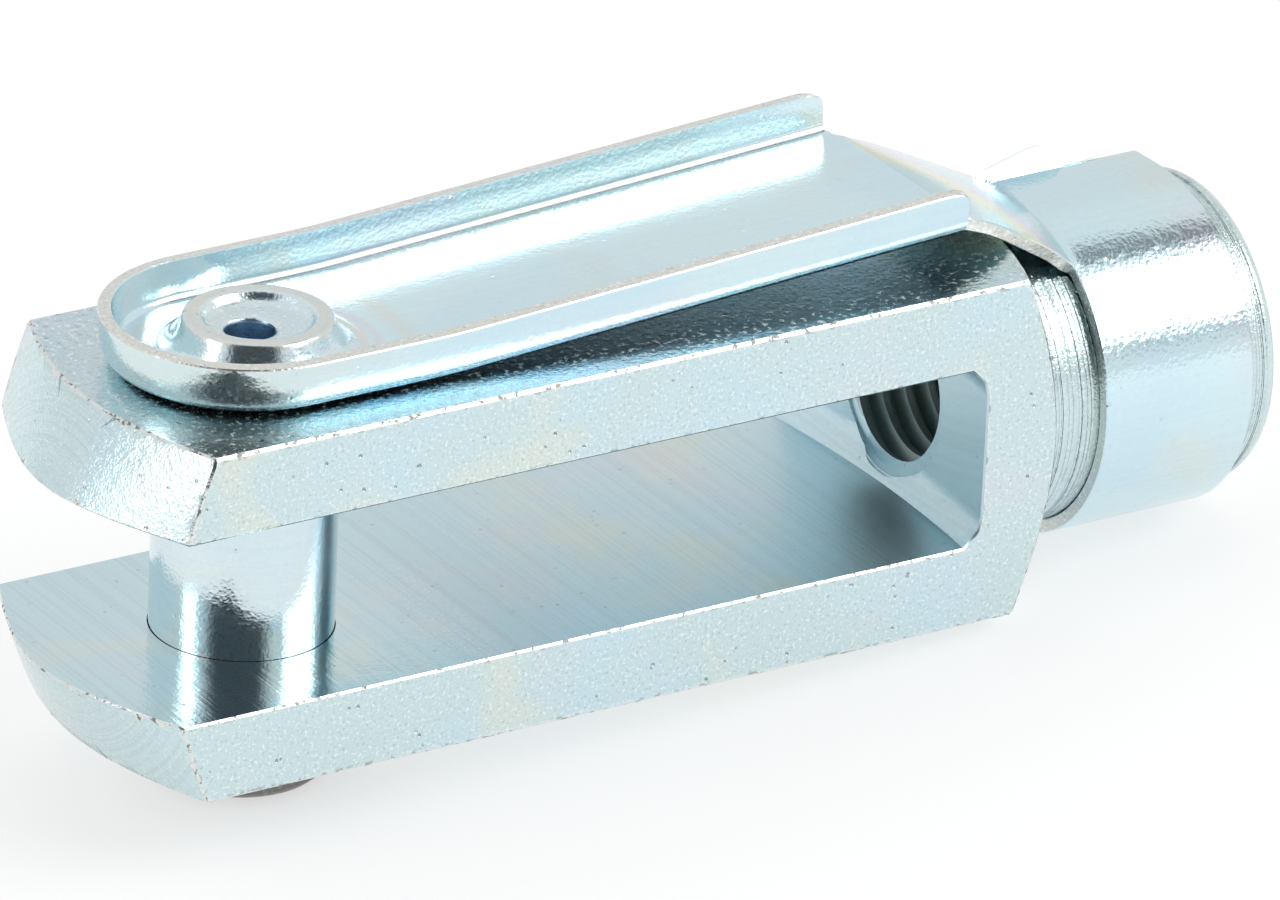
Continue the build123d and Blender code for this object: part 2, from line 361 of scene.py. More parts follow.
clip = {
    "sheet": 0.75,
    "under": 10.12,
    "halfWidth": 7.67,
    "foldRadius": 1.3,
    "flangeTop": 13.1,
    "cornerRadius": 0.8,
    "lean": 0.17,
    "frontCentre": -0.35,
    "frontSteps": 28,
    "rise": 3.35,
    "bendStart": 6.2,
    "bendRadius": 60.0,
    "widthShares": (0, 0.28, 0.54, 0.77, 0.92, 1),
    "leafRows": [1.6, 3.9, 6.2, 7.4, 8.55, 9.7, 14, 20, 26, 31.5, 36, 38.2, 39.35, 40.35],
    "footRun": 0.28,
    "footWidth": 0.975,
    # x, crown, near radius, far radius, near reach, far reach
    "saddleRows": [(40.95, 12.76, 320, 300, 6.42, 5.95), (41.7, 12.64, 90, 85, 6.4, 5.8),
                   (42.6, 12.38, 60, 60, 6.3, 5.68), (43.6, 12.01, 38, 46, 6.18, 5.4),
                   (44.8, 11.5, 25, 40, 5.98, 4.95), (46.0, 10.96, 18, 36, 5.8, 4.45),
                   (47.0, 10.48, 14.5, 40, 5.64, 3.95), (47.8, 10.11, 12.2, 46, 5.56, 3.5),
                   (48.3, 9.88, 10.7, 54, 5.7, 3.15)],
    "claspRows": [48.8, 49.5, 50.6, 52.0, 53.0, 53.55, 54.6, 56.2, 57.6, 58.48],
    "claspRadius": 9.72,
    "claspReach": 5.58,
    "claspTurns": [38, 42, 48, 56, 66] + list(range(77, 169, 13)) + [180],
    "jawReach": 2.95,
    "jawRadius": 62.0,
    "jawSteps": (0.9, 2.0),
    "earRoot": (0.1, 0.42),  # in from the jaw's edge, down from its top
    "earLean": 45,
    # x and the way up the ear, row by row
    "earRows": [[(47.45, 0.62), (49.0, 0.7), (50.5, 0.8), (51.9, 0.85), (52.95, 0.85), (53.55, 0.75)],
                [(47.9, 0.78), (49.6, 1.2), (50.9, 1.48), (52.1, 1.74), (52.85, 1.74), (53.38, 1.2)]],
    "edgeBreak": 0.07,
    "edgeAngle": 50,
    "rivetHole": 2.95,
    "rivetHoleCut": (9, 12),  # the heights that the cutter goes through
    "toolRing": (5.9, 0.3, 0.02),  # middle, half width, depth
}


def halfSection():
    # The tray's half section on the middle of the sheet, from the centre out to the flange's top.
    half = clip["sheet"] / 2
    floor = clip["under"] + half
    radius = clip["foldRadius"] - half
    foldY = clip["halfWidth"] - clip["foldRadius"]
    places = [(share * foldY, floor) for share in clip["widthShares"]]
    for angle in range(18, 91, 18):
        places.append((foldY + radius * sin(radians(angle)), floor + radius * (1 - cos(radians(angle)))))
    top, side, corner = clip["flangeTop"], foldY + radius, clip["cornerRadius"]
    for out, down in ((0.4, 1), (0.8, 0.4), (1, 0)):
        places.append((side + out * clip["lean"], top - down * corner))
    return places


def leafHeight(x):
    # How far the leaf has risen at x.
    rise = radians(clip["rise"])
    bendEnd = clip["bendStart"] + clip["bendRadius"] * sin(rise)
    if x <= clip["bendStart"]:
        return 0
    if x < bendEnd:
        return clip["bendRadius"] - sqrt(clip["bendRadius"]**2 - (x - clip["bendStart"])**2)
    return clip["bendRadius"] * (1 - cos(rise)) + (x - bendEnd) * tan(rise)


def nearest(points, spot):
    return min(points, key=lambda v: (v.co - Vector(spot)).length)


def extrudeRow(piece, row, places):
    # Extrudes the edges between the row's points and puts the new points at their places.
    mesh = bmesh.from_edit_mesh(piece.data)
    order = {nearest(mesh.verts, spot): i for i, spot in enumerate(row)}
    selectOnly(piece, lambda e: all(v in order for v in e.verts)
               and abs(order[e.verts[0]] - order[e.verts[1]]) == 1, "edges")
    bpy.ops.mesh.extrude_edges_move()
    mesh = bmesh.from_edit_mesh(piece.data)
    fresh = [v for v in mesh.verts if v.select]
    for point, spot in [(nearest(fresh, old), spot) for old, spot in zip(row, places)]:
        point.co = spot
    bmesh.update_edit_mesh(piece.data)
    return places


def drawTray():
    # Half of the section is spun round the front centre, then both open ends run back as the leaf.
    section = halfSection()
    front = clip["frontCentre"]
    piece = drawLine("springClip", [(front, -y, z) for y, z in section])
    bpy.ops.mesh.spin(steps=clip["frontSteps"], angle=pi, center=(front, 0, 0), axis=(0, 0, 1))
    bpy.ops.mesh.select_all(action="SELECT")
    bpy.ops.mesh.remove_doubles(threshold=mergeWithin)

    full = [(-y, z) for y, z in reversed(section)] + section[1:]
    row = [(front, y, z) for y, z in full]
    for x in clip["leafRows"]:
        places = [(x, y, z + leafHeight(x)) for y, z in full]
        if x == clip["leafRows"][-1]:  # the flanges' top corners are rounded
            corner = clip["cornerRadius"]
            for i, back, down in ((0, 0.3, 0.3), (1, 0.08, 0.2)):
                for j in (i, -1 - i):
                    places[j] = (x - back * corner, places[j][1], places[j][2] - down * corner)
        row = extrudeRow(piece, row, places)
    return piece, row


def saddlePlaces(x, crown, nearRadius, farRadius, nearReach, farReach):
    # One row across the saddle, on the middle of the sheet, from the near edge to the far one.
    half = clip["sheet"] / 2
    shares = [-share for share in reversed(clip["widthShares"][1:])] + list(clip["widthShares"])
    places = []
    for share in shares:
        radius, reach = (nearRadius, nearReach) if share < 0 else (farRadius, farReach)
        turn = asin(share * reach / radius)
        places.append((x, (radius - half) * sin(turn), crown - radius + (radius - half) * cos(turn)))
    return places


def bendSaddle(piece, row):
    # The floor alone goes on as the saddle; its section turns from flat to the clasp's round.
    # Behind the flanges the folds' feet run out in a small hollow curve.
    foldPoints, footPoints = 6, 2
    row = row[foldPoints:-foldPoints]
    row = extrudeRow(piece, row, [(x + clip["footRun"], y * clip["footWidth"], z) for x, y, z in row])
    row = row[footPoints:-footPoints]
    for station in clip["saddleRows"]:
        row = extrudeRow(piece, row, saddlePlaces(*station))
    nearColumn, farColumn = [], []
    for x in clip["claspRows"]:
        places = saddlePlaces(x, clip["claspRadius"], clip["claspRadius"], clip["jawRadius"],
                              clip["claspReach"], clip["jawReach"])
        row = extrudeRow(piece, row, places)
        nearColumn.append(row[0])
        farColumn.append(row[-1])
    return nearColumn, farColumn


def wrapClasp(piece, column):
    # The clasp's near side goes round the neck and ends in the flat lower jaw.
    radius = clip["claspRadius"] - clip["sheet"] / 2
    sides = [(-radius * sin(radians(turn)), radius * cos(radians(turn))) for turn in clip["claspTurns"]]
    sides += [(y, -radius) for y in (*clip["jawSteps"], clip["jawReach"])]
    for y, z in sides:
        column = extrudeRow(piece, column, [(x, y, z) for x in clip["claspRows"]])


def bendEar(piece, column):
    # The thumb ear is bent up from the upper jaw's free edge.
    inward, down = clip["earRoot"]
    edgeY, edgeZ = clip["jawReach"] - inward, clip["claspRadius"] - down
    lean = radians(clip["earLean"])
    column = column[:len(clip["earRows"][0])]
    for places in clip["earRows"]:
        column = extrudeRow(piece, column,
                            [(x, edgeY + up * cos(lean), edgeZ + up * sin(lean)) for x, up in places])


def thickenSheet(piece):
    for i in range(2):
        piece.data.materials.append(None)  # the sheet's faces, then its cut edges
    applyModifier(piece, "SUBSURF", levels=2, render_levels=2, boundary_smooth="ALL")
    applyModifier(piece, "SOLIDIFY", thickness=clip["sheet"], offset=0, use_even_offset=True, use_rim=True,
                  material_offset_rim=1)
    applyModifier(piece, "BEVEL", width=clip["edgeBreak"], segments=1, limit_method="ANGLE",
                  angle_limit=radians(clip["edgeAngle"]), use_clamp_overlap=False)


def pierceSheet(piece):
    # The pin's end comes up through a hole, and the riveting tool left a shallow ring round it.
    radius, (low, high) = clip["rivetHole"], clip["rivetHoleCut"]
    carve(piece, lathe("hole", [(low, 0), (low, radius), (high, radius), (high, 0)], "Z"))
    top, parts = clip["under"] + clip["sheet"], 8
    middle, reach, depth = clip["toolRing"]
    inside, outside, above = middle - reach, middle + reach, top + 1
    ring = [(above, inside), (top, inside)]
    ring += [(top - depth * sin(pi * i / parts)**2, inside + 2 * reach * i / parts) for i in range(1, parts)]
    ring += [(top, outside), (above, outside), (above, inside)]
    carve(piece, lathe("ring", ring, "Z", (pin["headShift"], 0, 0), steps=128))


print("spring clip")
springClip, leafEnd = drawTray()
nearSide, farSide = bendSaddle(springClip, leafEnd)
wrapClasp(springClip, nearSide)
bendEar(springClip, farSide)
mergeAndTurnOut()
thickenSheet(springClip)
pierceSheet(springClip)
goToFrame(springClip)
shade(springClip, 40)
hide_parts("spring_clip")
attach(springClip, "clip")


# Each effect that several finishes share is one node group.

def addNode(tree, kind, feeds=None, **settings):
    made = tree.nodes.new("ShaderNode" + kind)
    for name, value in settings.items():
        setattr(made, name, value)
    for name, value in (feeds or {}).items():
        if isinstance(value, bpy.types.NodeSocket):
            tree.links.new(value, made.inputs[name])
        else:
            made.inputs[name].default_value = value
    return made


def useGroup(tree, group, feeds):
    return addNode(tree, "Group", feeds, node_tree=group).outputs


def calc(tree, operation, first, second=0.0):
    return addNode(tree, "Math", {0: first, 1: second}, operation=operation).outputs[0]


def times(tree, first, second):
    return calc(tree, "MULTIPLY", first, second)


def plus(tree, first, second):
    return calc(tree, "ADD", first, second)


def distance(tree, first, second):
    return calc(tree, "SQRT", plus(tree, times(tree, first, first), times(tree, second, second)))


def ramp(tree, value, low, high, start=0.0, end=1.0):
    # Eases from start to end while the value goes from low to high.
    made = addNode(tree, "MapRange", {"Value": value, "From Min": low, "From Max": high, "To Min": start,
                                      "To Max": end}, interpolation_type="SMOOTHSTEP")
    return made.outputs["Result"]


def blend(tree, share, first, second):
    made = addNode(tree, "Mix", {0: share, 6: first, 7: second}, data_type="RGBA")
    return made.outputs[2]


def noise(tree, place, scale, detail=2.0, roughness=0.5, distortion=0.0):
    made = addNode(tree, "TexNoise", {"Vector": place, "Scale": scale, "Detail": detail,
                                      "Roughness": roughness, "Distortion": distortion})
    return made.outputs["Fac"]


def cells(tree, place, scale):
    return addNode(tree, "TexVoronoi", {"Vector": place, "Scale": scale}).outputs["Distance"]


def shifted(tree, place, offset):
    return addNode(tree, "Mapping", {"Vector": place, "Location": offset}).outputs[0]


def startGroup(name, inputs, outputs):
    tree = bpy.data.node_groups.new(name, "ShaderNodeTree")
    for label, kind, value in inputs:
        socket = tree.interface.new_socket(label, in_out="INPUT", socket_type="NodeSocket" + kind)
        if value is not None:
            socket.default_value = value
    for label, kind in outputs:
        tree.interface.new_socket(label, in_out="OUTPUT", socket_type="NodeSocket" + kind)
    return tree, tree.nodes.new("NodeGroupInput").outputs, tree.nodes.new("NodeGroupOutput").inputs


tints = {
    "pit": (0.16, 0.17, 0.17, 1),
    "streak": (0.34, 0.4, 0.42, 1),
    "sparkle": (0.9, 0.95, 0.95, 1),
    "dust": (0.36, 0.4, 0.4, 1),
    "bareLine": (0.88, 0.91, 0.91, 1),
    "nick": (0.12, 0.1, 0.08, 1),
    "blue": (0.56, 0.77, 0.9, 1),
    "warm": (0.76, 0.77, 0.66, 1),
    "rose": (0.78, 0.7, 0.78, 1),
}


sand = {
    # scales as shares of the grain
    "coarse": 0.3, "facets": 1.25, "pits": 0.32, "pitSpots": 0.22,
    # what each adds to the height
    "fineHeight": 0.6, "coarseHeight": 0.6, "facetHeight": 0.3, "pitDepth": 0.9,
    # where each mask starts and where it is full
    "pitRim": (0.2, 0.08), "spotRim": (0.56, 0.66), "sparkleRim": (0.56, 0.65), "dustRim": (0.43, 0.34),
}


def makeSandyGrain():
    # Fine pits and grains that the bath leaves on drawn steel. Grain counts them over a metre.
    tree, given, out = startGroup(
        "sandyGrain",
        [("Place", "Vector", None), ("Grain", "Float", 5000.0)],
        [("Height", "Float"), ("Pits", "Float"), ("Sparkle", "Float"), ("Dust", "Float")])
    place, grain = given["Place"], given["Grain"]
    fine = noise(tree, place, grain, 3, 0.6)
    coarse = noise(tree, place, times(tree, grain, sand["coarse"]), 2, 0.5)
    facets = cells(tree, place, times(tree, grain, sand["facets"]))
    spots = noise(tree, shifted(tree, place, (0.31, 0.17, 0.05)), times(tree, grain, sand["pitSpots"]), 1)
    pits = ramp(tree, cells(tree, place, times(tree, grain, sand["pits"])), *sand["pitRim"])
    pits = times(tree, pits, ramp(tree, spots, *sand["spotRim"]))
    height = plus(tree, times(tree, fine, sand["fineHeight"]), times(tree, coarse, sand["coarseHeight"]))
    height = plus(tree, height, times(tree, facets, sand["facetHeight"]))
    height = calc(tree, "SUBTRACT", height, times(tree, pits, sand["pitDepth"]))
    tree.links.new(height, out["Height"])
    tree.links.new(pits, out["Pits"])
    tree.links.new(ramp(tree, fine, *sand["sparkleRim"]), out["Sparkle"])
    tree.links.new(ramp(tree, fine, *sand["dustRim"]), out["Dust"])
    return tree


huePatches = {  # where each tint's noise is moved to, where its patches start and where they are full
    "Blue": ((0.1, 0.2, 0.3), 0.47, 0.63),
    "Warm": ((0.7, 0.1, 0.4), 0.51, 0.65),
    "Rose": ((0.3, 0.6, 0.9), 0.56, 0.7),
}


def makeZincHue():
    # Faint warm, rose and blue patches of the passivated zinc.
    tree, given, out = startGroup(
        "zincHue",
        [("Place", "Vector", None), ("Base", "Color", (0.64, 0.78, 0.8, 1)), ("Size", "Float", 90.0),
         ("Warm", "Float", 0.3), ("Rose", "Float", 0.2), ("Blue", "Float", 0.3)],
        [("Color", "Color")])
    colour = given["Base"]
    for label, (offset, low, high) in huePatches.items():
        field = noise(tree, shifted(tree, given["Place"], offset), given["Size"], 3, 0.55, 0.7)
        patches = ramp(tree, field, low, high)
        colour = blend(tree, times(tree, patches, given[label]), colour, tints[label.lower()])
    tree.links.new(colour, out["Color"])
    return tree


toolLines = {
    "wanderScale": 160.0, "wander": 0.00012,
    "broad": 0.27,  # broad lines for each fine one
    "fineHeight": 0.6,
    "streakRim": (0.2, 0.36),
    # the marks fade in patches: scale, rim of the patches, height left between them and in them
    "patchScale": 420.0, "patchRim": (0.25, 0.6), "patchHeights": (0.35, 1.0),
}


def makeToolMarks():
    # Fine lines side by side, as a turning or milling tool leaves them. Over counts metres across them.
    tree, given, out = startGroup(
        "toolMarks",
        [("Place", "Vector", None), ("Over", "Float", 0.0), ("Lines", "Float", 6000.0)],
        [("Height", "Float"), ("Streak", "Float")])
    wander = noise(tree, given["Place"], toolLines["wanderScale"], 2)
    over = plus(tree, given["Over"], times(tree, wander, toolLines["wander"]))
    lines = []
    for share in (1.0, toolLines["broad"]):
        count = times(tree, over, times(tree, given["Lines"], share))
        lines.append(addNode(tree, "TexNoise", {"W": count, "Scale": 1.0, "Detail": 2.0},
                             noise_dimensions="1D").outputs["Fac"])
    fine, broad = lines
    patches = noise(tree, shifted(tree, given["Place"], (0.2, 0.5, 0.1)), toolLines["patchScale"], 2)
    patches = ramp(tree, patches, *toolLines["patchRim"], *toolLines["patchHeights"])
    height = plus(tree, times(tree, fine, toolLines["fineHeight"]), broad)
    tree.links.new(times(tree, height, patches), out["Height"])
    tree.links.new(ramp(tree, times(tree, fine, broad), *toolLines["streakRim"]), out["Streak"])
    return tree


wear = {
    "edgeRim": (0.004, 0.05),  # how much the rounded normal differs where the edge starts and is full
    "lineRim": (0.42, 0.52),
    "nickRim": (0.46, 0.4),
    "nickRough": 0.25,
}


def makeEdgeNicks():
    # Small dark nicks and a thin bare line where two faces meet, or the nicks everywhere on a face.
    tree, given, out = startGroup(
        "edgeNicks",
        [("Place", "Vector", None), ("Width", "Float", 0.00012), ("Spread", "Float", 900.0),
         ("Everywhere", "Float", 0.0)],
        [("Line", "Float"), ("Nicks", "Float")])
    rounded = addNode(tree, "Bevel", {"Radius": given["Width"]}, samples=4).outputs[0]
    facing = addNode(tree, "NewGeometry").outputs["Normal"]
    alike = addNode(tree, "VectorMath", {0: rounded, 1: facing}, operation="DOT_PRODUCT").outputs["Value"]
    edge = ramp(tree, calc(tree, "SUBTRACT", 1.0, alike), *wear["edgeRim"])
    edge = calc(tree, "MAXIMUM", edge, given["Everywhere"])
    field = noise(tree, given["Place"], given["Spread"], 4, 0.65)
    tree.links.new(times(tree, edge, ramp(tree, field, *wear["lineRim"])), out["Line"])
    tree.links.new(times(tree, edge, ramp(tree, field, *wear["nickRim"])), out["Nicks"])
    return tree


sandyGrain, zincHue = makeSandyGrain(), makeZincHue()
toolMarks, edgeNicks = makeToolMarks(), makeEdgeNicks()


ways = {
    "turnedSlant": 0.6,
    "milledSlant": 0.35,
    "saddleSlant": 0.466,
    "saddleWander": (260.0, 0.0018),  # the wander's scale and its width in metres
    "rivetWander": (500.0, 0.0006),
    "rivetHeight": 11.2,
}


def overMarks(tree, place, kind):
    # The way over the tool's marks: along the bar, along the pin, along the slot, or over the sheet.
    x, y, z = addNode(tree, "SeparateXYZ", {0: place}).outputs
    if kind == "turned":
        return plus(tree, x, times(tree, distance(tree, y, z), ways["turnedSlant"]))
    if kind == "pin":
        return plus(tree, z, distance(tree, plus(tree, x, -pinPlace * mm), y))
    if kind == "milled":
        return plus(tree, x, times(tree, z, ways["milledSlant"]))
    return plus(tree, y, z)


def addTints(tree, colour, way, wanted):
    # Tints the places near each middle; way is in metres, and middle and reach are in millimetres.
    for middle, reach, tint, share in wanted:
        off = calc(tree, "ABSOLUTE", calc(tree, "SUBTRACT", way, middle * mm))
        colour = blend(tree, ramp(tree, off, reach * mm, 0.0, 0.0, share), colour, (*tint, 1))
    return colour


def wandering(tree, place, way, scale, width):
    return plus(tree, way, times(tree, noise(tree, place, scale), width))


def slantWay(tree, place):
    # The way along the saddle on a slant.
    x, y, z = addNode(tree, "SeparateXYZ", {0: place}).outputs
    slant = plus(tree, plus(tree, x, -pinPlace * mm), times(tree, y, ways["saddleSlant"]))
    return wandering(tree, place, slant, *ways["saddleWander"])


def rivetWay(tree, place):
    # The way out from the riveted head.
    head = Vector((pinPlace, 0, ways["rivetHeight"])) * mm
    away = addNode(tree, "VectorMath", {0: place, 1: head}, operation="DISTANCE").outputs["Value"]
    return wandering(tree, place, away, *ways["rivetWander"])


def makeFinish(name, look):
    # One zinc finish from the groups; look holds this finish's values.
    material = bpy.data.materials.new(name)
    material.use_nodes = True
    tree = material.node_tree
    shader = tree.nodes["Principled BSDF"]
    place = addNode(tree, "TexCoord").outputs["Object"]

    grain = useGroup(tree, sandyGrain, {"Place": place, "Grain": look["grain"]})
    marks = useGroup(tree, toolMarks, {"Place": place, "Over": overMarks(tree, place, look["marks"]),
                                       "Lines": look["lines"]})
    hue = useGroup(tree, zincHue, {"Place": place, "Base": (*look["base"], 1), "Size": look["patch"],
                                   "Warm": look["warm"], "Rose": look["rose"], "Blue": look["blue"]})
    colour = hue["Color"]
    if "bands" in look:
        colour = addTints(tree, colour, slantWay(tree, place), look["bands"])
    if "rings" in look:
        colour = addTints(tree, colour, rivetWay(tree, place), look["rings"])
    for mask, share, tint in ((grain["Pits"], "pitShade", "pit"), (marks["Streak"], "streak", "streak"),
                              (grain["Sparkle"], "sparkle", "sparkle"), (grain["Dust"], "dust", "dust")):
        colour = blend(tree, times(tree, mask, look[share]), colour, tints[tint])

    rough = plus(tree, look["rough"], times(tree, grain["Sparkle"], look["roughPlay"]))
    lines = times(tree, marks["Height"], look["lineDepth"])
    if "polished" in look:  # the cutter ran finer near the open end
        start, end, roughShare, lineShare = look["polished"]
        x = addNode(tree, "SeparateXYZ", {0: place}).outputs[0]
        start, end = (start + pinPlace) * mm, (end + pinPlace) * mm
        rough = times(tree, rough, ramp(tree, x, start, end, roughShare, 1.0))
        lines = times(tree, lines, ramp(tree, x, start, end, 1.0, lineShare))
    if look["nicks"]:
        edge = useGroup(tree, edgeNicks, {"Place": place, "Width": look["edge"], "Spread": look["spread"],
                                          "Everywhere": look["everywhere"]})
        colour = blend(tree, times(tree, edge["Line"], look["line"]), colour, tints["bareLine"])
        colour = blend(tree, times(tree, edge["Nicks"], look["nicks"]), colour, tints["nick"])
        rough = plus(tree, rough, times(tree, edge["Nicks"], wear["nickRough"]))
    tree.links.new(colour, shader.inputs["Base Color"])
    tree.links.new(rough, shader.inputs["Roughness"])
    shader.inputs["Metallic"].default_value = 1

    height = plus(tree, times(tree, grain["Height"], look["grainDepth"]), lines)
    bump = addNode(tree, "Bump", {"Height": height, "Strength": 1.0, "Distance": mm})
    tree.links.new(bump.outputs["Normal"], shader.inputs["Normal"])
    return material


def fromPin(spot):
    # A place of the frame in millimetres from the pin's axis.
    return spot * 1000 - Vector((pinPlace, 0, 0))


def paintFaces(piece, finish, wanted, spared=()):
    # Gives the finish to the faces that the test says yes to, by their middle and normal.
    piece.data.materials.append(finish)
    number = len(piece.data.materials) - 1
    for face in piece.data.polygons:
        if face.index not in spared and wanted(fromPin(face.center), face.normal):
            face.material_index = number


def everyFace(spot, normal):
    return True


print("zinc finishes")
drawnLook = {
    "base": (0.61, 0.75, 0.77), "warm": 0.5, "rose": 0.25, "blue": 0.4, "patch": 85.0,
    "rough": 0.25, "roughPlay": -0.1, "grain": 4700.0, "grainDepth": 0.055, "pitShade": 0.6,
    "sparkle": 0.75, "dust": 0.4, "marks": "turned", "lines": 900.0, "lineDepth": 0.0, "streak": 0.0,
    "edge": 0.00034, "spread": 1500.0, "everywhere": 0.0, "line": 0.5, "nicks": 0.8,
}
# Painted shade: the top face's base is darker and bluer than the drawn faces', standing in for the shade
# under the leaf; its coarser grain, sparkle and roughness are the face's own.
topShadedLook = dict(drawnLook, base=(0.56, 0.69, 0.73), warm=0.3, rough=0.2, roughPlay=0.42, grain=2700.0,
               grainDepth=0.035, sparkle=0.95, dust=0.5)
turnedLook = dict(drawnLook, warm=0.1, rough=0.18, grain=5000.0, grainDepth=0.045, pitShade=0.2,
                  sparkle=0.35, dust=0.15, lines=7200.0, lineDepth=0.012, streak=0.14, line=0.2, nicks=0.3)
edgeLook = dict(drawnLook, base=(0.74, 0.78, 0.77), warm=0.2, blue=0.0, rough=0.14, grainDepth=0.02,
                sparkle=0.3, dust=0.3, spread=1900.0, everywhere=1.0, line=0.0, nicks=0.8)
milledLook = dict(drawnLook, base=(0.6, 0.76, 0.81), patch=70.0, rough=0.4, grain=4200.0,
                  grainDepth=0.01, pitShade=0.3, sparkle=0.06, dust=0.05, marks="milled", lines=4200.0,
                  lineDepth=0.014, streak=0.12, nicks=0.0, polished=(2.0, 14.0, 0.34, 0.45))
threadLook = dict(drawnLook, base=(0.44, 0.52, 0.52), blue=0.1, rough=0.46, grainDepth=0.01, pitShade=0.0,
                  sparkle=0.05, dust=0.05, nicks=0.0)

slotHalf, slotEnd, neckEnd = fork["slotWidth"] / 2, fork["slotDepth"], fork["neckEnd"]
neckStart = 45  # behind this the turned neck begins
skin = fork["square"] / 2 - 0.2  # what lies outside this is the bar's own skin


def drawnFace(spot, normal):
    onSkin = abs(normal.y) > 0.75 and abs(spot.y) > skin or abs(normal.z) > 0.75 and abs(spot.z) > skin
    return onSkin and spot.x < neckStart and max(abs(v) for v in normal) > 0.95


def topFace(spot, normal):
    return normal.z > 0.95 and spot.z > skin and spot.x < neckStart


def brokenEdge(spot, normal):
    # A slanted face has two large parts in its normal.
    outer = abs(spot.y) > skin - 0.05 or abs(spot.z) > skin - 0.05
    ofSlot = slotHalf - 0.15 < abs(spot.z) < slotHalf + 0.25
    return spot.x < neckStart and sorted(abs(v) for v in normal)[1] > 0.36 and (outer or ofSlot)


def milledFace(spot, normal):
    inSlot = abs(spot.z) < slotHalf + 0.02 and spot.x < slotEnd + 0.3 and abs(spot.y) < skin + 0.15
    ofSide = abs(normal.z) > 0.75 and normal.z * spot.z < 0
    ofEnd = normal.x < -0.5 and spot.x > slotEnd - 3
    return inSlot and (ofSide or ofEnd)


def threadFace(spot, normal):
    return slotEnd + 0.05 < spot.x < neckEnd - 0.02 and spot.yz.length < thread["mouth"] + 0.17


for name, look, wanted in (("zincTurned", turnedLook, everyFace), ("zincDrawn", drawnLook, drawnFace),
                           ("zincTopShaded", topShadedLook, topFace), ("zincEdge", edgeLook, brokenEdge),
                           ("zincMilled", milledLook, milledFace), ("zincThread", threadLook, threadFace)):
    paintFaces(forkBody, makeFinish(name, look), wanted)

pinLook = dict(drawnLook, base=(0.68, 0.8, 0.84), warm=0.2, blue=0.15, patch=160.0, rough=0.13,
               grain=3600.0, grainDepth=0.016, pitShade=0.2, sparkle=0.12, dust=0.06, marks="pin",
               lines=8000.0, lineDepth=0.002, streak=0.04, nicks=0.0)
lipLook = dict(pinLook, base=(0.7, 0.74, 0.72), warm=0.4, rose=0.4, blue=0.1, rough=0.2)
bowlLook = dict(pinLook, rough=0.2, grain=4000.0, grainDepth=0.04, sparkle=0.5)
footLook = dict(pinLook, base=(0.2, 0.19, 0.18), warm=0.0, rose=0.0, blue=0.0, rough=0.34)
wellLook = dict(pinLook, base=(0.36, 0.52, 0.66), warm=0.0, rose=0.0, rough=0.34)


def fromHead(spot):
    return hypot(spot.x - pin["headShift"], spot.y)


for name, look, wanted in (("zincPin", pinLook, everyFace),
                           ("zincLip", lipLook, lambda c, n: c.z > 12.25 and fromHead(c) > 2.9),
                           ("zincBowl", bowlLook, lambda c, n: c.z > 11.65 and fromHead(c) < 3.15),
                           ("zincFoot", footLook, lambda c, n: c.z < -10.02),
                           ("zincWell", wellLook, lambda c, n: 8 < c.z < 11.7 and c.xy.length < 1.42)):
    paintFaces(clevisPin, makeFinish(name, look), wanted)

sheetLook = dict(drawnLook, base=(0.65, 0.82, 0.87), warm=0.35, rose=0.35, patch=60.0, rough=0.15,
                 grain=3600.0, grainDepth=0.012, pitShade=0.1, sparkle=0.08, dust=0.05, marks="sheet",
                 lines=9000.0, lineDepth=0.0015, streak=0.03, nicks=0.0)
leafLook = dict(sheetLook, base=(0.68, 0.85, 0.89), warm=0.25, rose=0.3, blue=0.35, patch=80.0, rough=0.17)
# middle, reach, tint, share
trayLook = dict(leafLook, rings=[
    (5.3, 0.7, (0.5, 0.72, 0.78), 0.7), (6.3, 0.7, (0.76, 0.68, 0.62), 0.6),
    (7.2, 0.5, (0.74, 0.67, 0.76), 0.5), (8.9, 1.0, (0.76, 0.7, 0.6), 0.35)])
saddleLook = dict(leafLook, base=(0.58, 0.73, 0.76), bands=[
    (42.3, 2.0, (0.5, 0.74, 0.78), 0.6), (44.1, 2.0, (0.78, 0.77, 0.52), 0.75),
    (45.5, 1.3, (0.78, 0.62, 0.77), 0.6), (47.1, 1.8, (0.54, 0.74, 0.77), 0.6),
    (50.5, 1.2, (0.78, 0.66, 0.75), 0.4)])
claspLook = dict(sheetLook, rough=0.13, grain=2900.0, grainDepth=0.03)
# Painted shade: the leaf's underside has a darker base than the sheet, as if it lay in shadow, and so does
# its reflection in the fork's top face; its rougher finish is the sheet's own.
underShadeLook = dict(sheetLook, base=(0.5, 0.62, 0.68), rough=0.3)
cutLook = dict(drawnLook, base=(0.74, 0.75, 0.71), warm=0.35, rose=0.35, blue=0.0, rough=0.3, grain=4200.0,
               grainDepth=0.05, sparkle=0.9, nicks=0.0)

springClip.data.materials[0] = makeFinish("zincSheet", sheetLook)
springClip.data.materials[1] = makeFinish("zincCutEdge", cutLook)
cutEdges = {face.index for face in springClip.data.polygons if face.material_index == 1}
saddleStart, claspStart = 41, 48.6
for name, look, wanted in (("zincTray", trayLook, lambda c, n: c.x < saddleStart and n.z > 0.9),
                           ("zincUnderShade", underShadeLook, lambda c, n: 5 < c.x < 42 and n.z < -0.9),
                           ("zincSaddle", saddleLook, lambda c, n: saddleStart <= c.x < claspStart),
                           ("zincClasp", claspLook, lambda c, n: c.x >= claspStart)):
    paintFaces(springClip, makeFinish(name, look), wanted, cutEdges)


